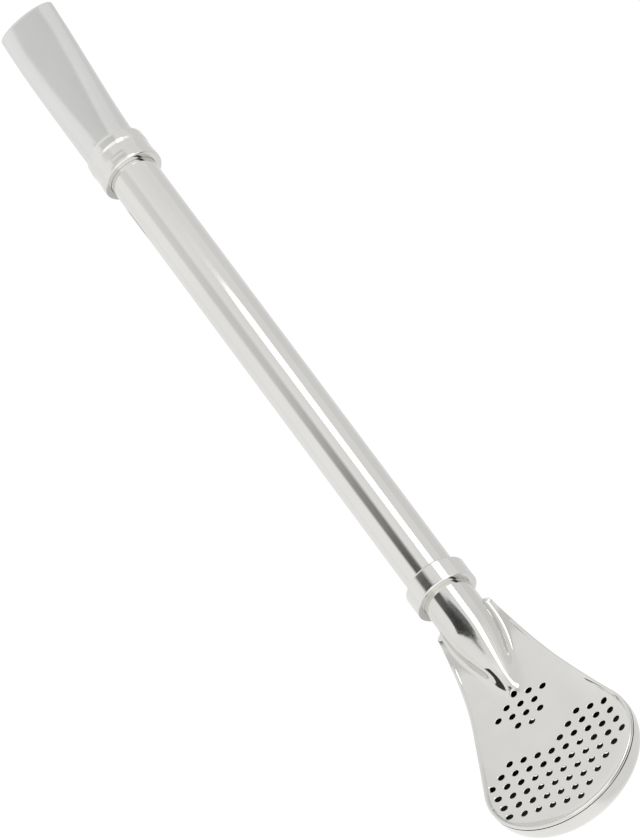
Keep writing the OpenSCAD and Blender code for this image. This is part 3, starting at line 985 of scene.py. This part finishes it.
        # Where each vertex starts at the shell's end, and where it comes to on the neck
        paths = {}
        for vert in {v for e in edges for v in e.verts}:
            x, _, z = vert.co
            a = math.atan2(-z, x) if z < 0 else (0 if x > 0 else math.pi)
            size = r - h.shell_t if vert in inside else r
            paths[vert] = (vert.co.copy(), Vector((size * math.cos(a), 0, -size * math.sin(a))))
        rows = [(1 - math.cos(a), -h.neck + shoulder * math.sin(a)) for a in quarter_turn(6)[1:]]
        for share, y in rows + [(1, straw().socket)]:
            known = {v.co.to_tuple(6) + (v in inside,): v for e in edges for v in e.verts}
            verts, edges = extruded(shape, edges)
            for vert in verts:
                before = vert.co.to_tuple(6)
                source = known.get(before + (False,)) or known[before + (True,)]
                paths[vert] = paths[source]
                if source in inside:
                    inside.add(vert)
            for vert in verts:
                start, end = paths[vert]
                vert.co = start.lerp(end, share)
                vert.co.y = y
        bmesh.ops.remove_doubles(shape, verts=shape.verts, dist=2e-3)
        edges = [e for e in shape.edges if e.is_boundary]
        bmesh.ops.triangle_fill(shape, use_beauty=True, edges=edges, normal=ALONG)


def facing(way):
    """A turn that puts a card's or a lamp's back to a direction, with its length along the straw."""
    lengthwise = (ALONG - way * way.dot(ALONG)).normalized()
    return Matrix((lengthwise.cross(way), lengthwise, way)).transposed().to_4x4()


def bright_share(tree):
    """1 for rays that show the background: camera, mirror and see-through rays."""
    rays = add_node(tree, "ShaderNodeLightPath").outputs
    share = rays["Is Camera Ray"]
    for kind in ("Is Glossy Ray", "Is Transmission Ray"):
        share = add_node(tree, "ShaderNodeMath", {0: share, 1: rays[kind]}, operation="MAXIMUM").outputs[0]
    return share


class BombillaStage(bpy.types.Operator):
    """Set up the white floor, the soft studio light and the camera"""

    bl_idname = "bombilla.stage"
    bl_label = "Stage"

    def execute(self, context):
        self.floor()
        self.world(context)
        self.lamps()
        self.camera(context)
        context.scene.view_settings.view_transform = "Standard"
        return {"FINISHED"}

    def floor(self):
        shape = bmesh.new()
        bmesh.ops.create_grid(shape, x_segments=1, y_segments=1, size=2)
        bmesh.ops.translate(shape, vec=(0, 0, -0.05 * MM), verts=shape.verts)
        paper, tree = blank_material("white_paper_floor")
        matt = add_node(tree, "ShaderNodeBsdfDiffuse", {"Color": (*linear("#f2f2f2"), 1)})
        # Painted light and shade on the floor, seen only in the metal's reflections
        regions = [
            # In the metal the floor dims to the right, as the side of the straw does in the photograph
            (-0.24, [("X", 0.0, 0.012)]),
            # It is brighter round the head
            (0.13, [("Y", LOWER_FACE - 0.016, LOWER_FACE - 0.034)]),
            # A painted dark patch at the right front, which the neck passes on to the lower collar's end
            # face
            (-0.6, [("X", 0.040, 0.050), ("Y", LOWER_FACE - 0.012, LOWER_FACE - 0.018),
                    ("Y", LOWER_FACE - 0.046, LOWER_FACE - 0.040)])]
        # Shade under the collars' end faces, which those faces show at the left
        regions += [(-0.42, [("X", -0.0095, -0.0085), ("X", -0.001, -0.003),
                             ("Y", face - 0.007, face - 0.005), ("Y", face, face - 0.0008)])
                    for face in (LOWER_FACE, LOWER_FACE + UPPER_AT * MM)]
        place = add_node(tree, "ShaderNodeTexCoord").outputs["Object"]
        painted_reflection_tone = self.toned(tree, place, 0.96, regions)
        rays = add_node(tree, "ShaderNodeLightPath")
        bright = add_node(tree, "ShaderNodeMix", {
            "Factor": rays.outputs["Is Camera Ray"], "A": painted_reflection_tone, "B": 1.08})
        glow = add_node(tree, "ShaderNodeEmission", {
            "Color": (1, 1, 1, 1), "Strength": bright.outputs["Result"]})
        # The rest of the floor's brightness is left to the matt paper, which takes the straw's shadow
        share = add_node(tree, "ShaderNodeMath", {0: bright_share(tree), 1: 0.8}, operation="MULTIPLY")
        both = add_node(tree, "ShaderNodeMixShader", {
            "Fac": share.outputs[0], 1: matt.outputs["BSDF"], 2: glow.outputs["Emission"]})
        add_node(tree, "ShaderNodeOutputMaterial", {"Surface": both.outputs["Shader"]})
        floor = set_down("studio_floor", mesh_of(shape, "studio_floor"))
        floor.data.materials.append(paper)

    def world(self, context):
        world = bpy.data.worlds.new("studio_white")
        context.scene.world = world
        world.use_nodes = True
        tree = world.node_tree
        tree.nodes.clear()
        way = add_node(tree, "ShaderNodeTexCoord").outputs["Generated"]
        along = add_node(tree, "ShaderNodeSeparateXYZ", {"Vector": way}).outputs["Y"]
        fade = add_node(tree, "ShaderNodeMapRange", {
            "Value": along, "From Min": 0.487, "From Max": 0.516, "To Min": -0.93, "To Max": -0.23})
        tone = self.toned(tree, way, 1.0, [
            # The room dims to the right
            (-0.14, [("X", -0.7, 0.7)]),
            # A grey wall beyond the mouth, which the flattened mouthpiece reflects
            (-0.2, [("X", -0.45, -0.36), ("X", 0.47, 0.36), ("Y", 0.55, 0.59), ("Y", 0.75, 0.69)]),
            # Something dark overhead that pales away from the head: the dark line along the stem
            (fade.outputs["Result"], [("X", -0.66, -0.54), ("X", -0.04, -0.23),
                                      ("Y", 0.468, 0.473), ("Y", 0.575, 0.530)]),
            # A dark doorway low at the right front, which the tubes pass on to the collars' end faces
            (-0.8, [("X", 0.45, 0.55), ("Y", -0.05, -0.2), ("Z", 0.38, 0.28)]),
            # A brighter ceiling, which edges turned toward the head catch
            (0.32, [("Y", 0.44, 0.25), ("Z", 0.2, 0.4), ("X", -0.5, -0.35)])])
        rays = add_node(tree, "ShaderNodeLightPath")
        strength = add_node(tree, "ShaderNodeMix", {
            "Factor": rays.outputs["Is Camera Ray"], "A": tone, "B": 1.0})
        sky = add_node(tree, "ShaderNodeBackground", {
            "Color": (1, 1, 1, 1), "Strength": strength.outputs["Result"]})
        add_node(tree, "ShaderNodeOutputWorld", {"Surface": sky.outputs["Background"]})

    def toned(self, tree, place, tone, regions):
        """A tone that differs by an amount in each region of places or directions.

        Each limit of a region gives an axis, where the region starts there and where it is full.
        """
        sides = add_node(tree, "ShaderNodeSeparateXYZ", {"Vector": place}).outputs
        for amount, limits in regions:
            for axis, start, full in limits:
                share = add_node(tree, "ShaderNodeMapRange", {
                    "Value": sides[axis], "From Min": start, "From Max": full})
                amount = add_node(tree, "ShaderNodeMath", {0: share.outputs["Result"], 1: amount},
                                  operation="MULTIPLY").outputs[0]
            tone = add_node(tree, "ShaderNodeMath", {0: tone, 1: amount}, operation="ADD").outputs[0]
        return tone

    def lamps(self):
        low_stem = Vector((0, LOWER_FACE + 3 * MM, STRAW_AXIS))
        light = bpy.data.lights.new("softbox", "AREA")
        light.shape = "RECTANGLE"
        light.size = 0.17
        light.size_y = 0.30
        light.energy = 0.29
        way = Vector((0.553, 0.509, 0.660))
        lamp_away = 0.5
        toward_head = Matrix.Translation((0, -0.09, 0))
        lamp = set_down("softbox", light)
        lamp.matrix_world = Matrix.Translation(low_stem + way * lamp_away) @ facing(way) @ toward_head
        # Painted dark reflection on the neck: place along the card, and its left and right edge there
        rows = ((-0.0230, -0.080, 0.108), (-0.0185, -0.058, 0.108), (-0.0162, -0.042, 0.100),
                (-0.0150, -0.040, 0.026), (-0.0110, -0.040, 0.022))
        card_away = 0.15
        bow = 0.071
        spot = low_stem + Vector((-0.364, 0.509, 0.780)) * card_away
        self.card("neck_card", rows, bow, spot, Vector((-0.423, 0, 0.906)))
        # Painted dark reflection: the streak beside the ridge's end
        rows = ((-0.0230, 0.0075, 0.0138), (-0.0193, 0.0075, 0.0138))
        beside = Vector((-0.014, LOWER_FACE + 0.0088, 0))
        self.card("ridge_card", rows, 0, beside, Vector((-1, 0, 0)))

    def card(self, name, rows, bow, place, way):
        """A dark card out of the picture, seen by the polished metal only."""
        columns = 12
        # How far the neck's card is from the straw's axis
        from_axis = 0.129
        shape, at = mapped_grid(columns, len(rows) - 1)
        for (column, row), vert in at.items():
            y, left, right = rows[row]
            x = left + (right - left) * column / columns
            # Rows that bow are shown straight by the round neck
            vert.co = (x, y + bow * (math.hypot(1, x / from_axis) - 1), 0)
        paper, tree = blank_material(name)
        local = add_node(tree, "ShaderNodeTexCoord").outputs["Object"]
        along = add_node(tree, "ShaderNodeSeparateXYZ", {"Vector": local}).outputs["Y"]
        glow = add_node(tree, "ShaderNodeMapRange", {
            "Value": along, "From Min": -0.016, "From Max": -0.011, "To Min": 0.05, "To Max": 0.15})
        light = add_node(tree, "ShaderNodeEmission", {
            "Color": (1, 1, 1, 1), "Strength": glow.outputs["Result"]})
        add_node(tree, "ShaderNodeOutputMaterial", {"Surface": light.outputs["Emission"]})
        card = set_down(name, mesh_of(shape, name))
        card.data.materials.append(paper)
        card.matrix_world = Matrix.Translation(place) @ facing(way)
        card.visible_camera = False
        card.visible_shadow = False
        card.visible_diffuse = False

    def camera(self, context):
        """The photograph's view: from the front, a little right of the straw and toward its head."""
        turn = math.radians(5)
        tilt = math.radians(30.6)
        roll = math.radians(36.7)
        toward = Vector((math.sin(turn) * math.cos(tilt), -math.sin(tilt),
                         math.cos(turn) * math.cos(tilt)))
        right = Vector((math.cos(turn), 0, -math.sin(turn)))
        up = toward.cross(right)
        across = right * math.cos(roll) - up * math.sin(roll)
        upward = right * math.sin(roll) + up * math.cos(roll)
        lens = bpy.data.cameras.new("photograph_view")
        lens.lens = 300
        lens.sensor_width = 36
        distance = 1.057
        aim = Vector((0, LOWER_FACE + 37.86 * MM, STRAW_AXIS)) + right * 0.65 * MM
        pose = Matrix((across, upward, toward)).transposed().to_4x4()
        pose.translation = aim + toward * distance
        camera = set_down("photograph_view", lens)
        camera.matrix_world = pose
        context.scene.camera = camera


class BombillaPanel(bpy.types.Panel):
    """Lists the bombilla's pieces, sizes and colours"""

    bl_idname = "VIEW3D_PT_bombilla"
    bl_label = "Bombilla"
    bl_space_type = "VIEW_3D"
    bl_region_type = "UI"
    bl_category = "Bombilla"

    def draw(self, context):
        for operator in OPERATORS:
            self.layout.operator(operator.bl_idname)
        for place in GROUPS:
            group = getattr(context.scene, place)
            box = self.layout.box()
            for name in group.bl_rna.properties.keys():
                if name not in ("rna_type", "name"):
                    box.prop(group, name)


GROUPS = {"bombilla_straw": BombillaStraw, "bombilla_head": BombillaHead,
          "bombilla_colours": BombillaColours}
OPERATORS = (BombillaStem, BombillaCollars, BombillaNipples, BombillaSeals, BombillaMouthpiece,
             BombillaFrontPlate, BombillaBackShell, BombillaStage)
CLASSES = (*GROUPS.values(), *OPERATORS, BombillaPanel)


def register():
    for made in CLASSES:
        bpy.utils.register_class(made)
    for place, group in GROUPS.items():
        setattr(bpy.types.Scene, place, bpy.props.PointerProperty(type=group))


def unregister():
    for place in GROUPS:
        delattr(bpy.types.Scene, place)
    for made in reversed(CLASSES):
        bpy.utils.unregister_class(made)


def main():
    register()
    bpy.ops.bombilla.stem()
    bpy.ops.bombilla.collars()
    bpy.ops.bombilla.nipples()
    bpy.ops.bombilla.seals()
    bpy.ops.bombilla.mouthpiece()
    bpy.ops.bombilla.front_plate()
    bpy.ops.bombilla.back_shell()
    bpy.ops.bombilla.stage()


if __name__ == "__main__":
    main()
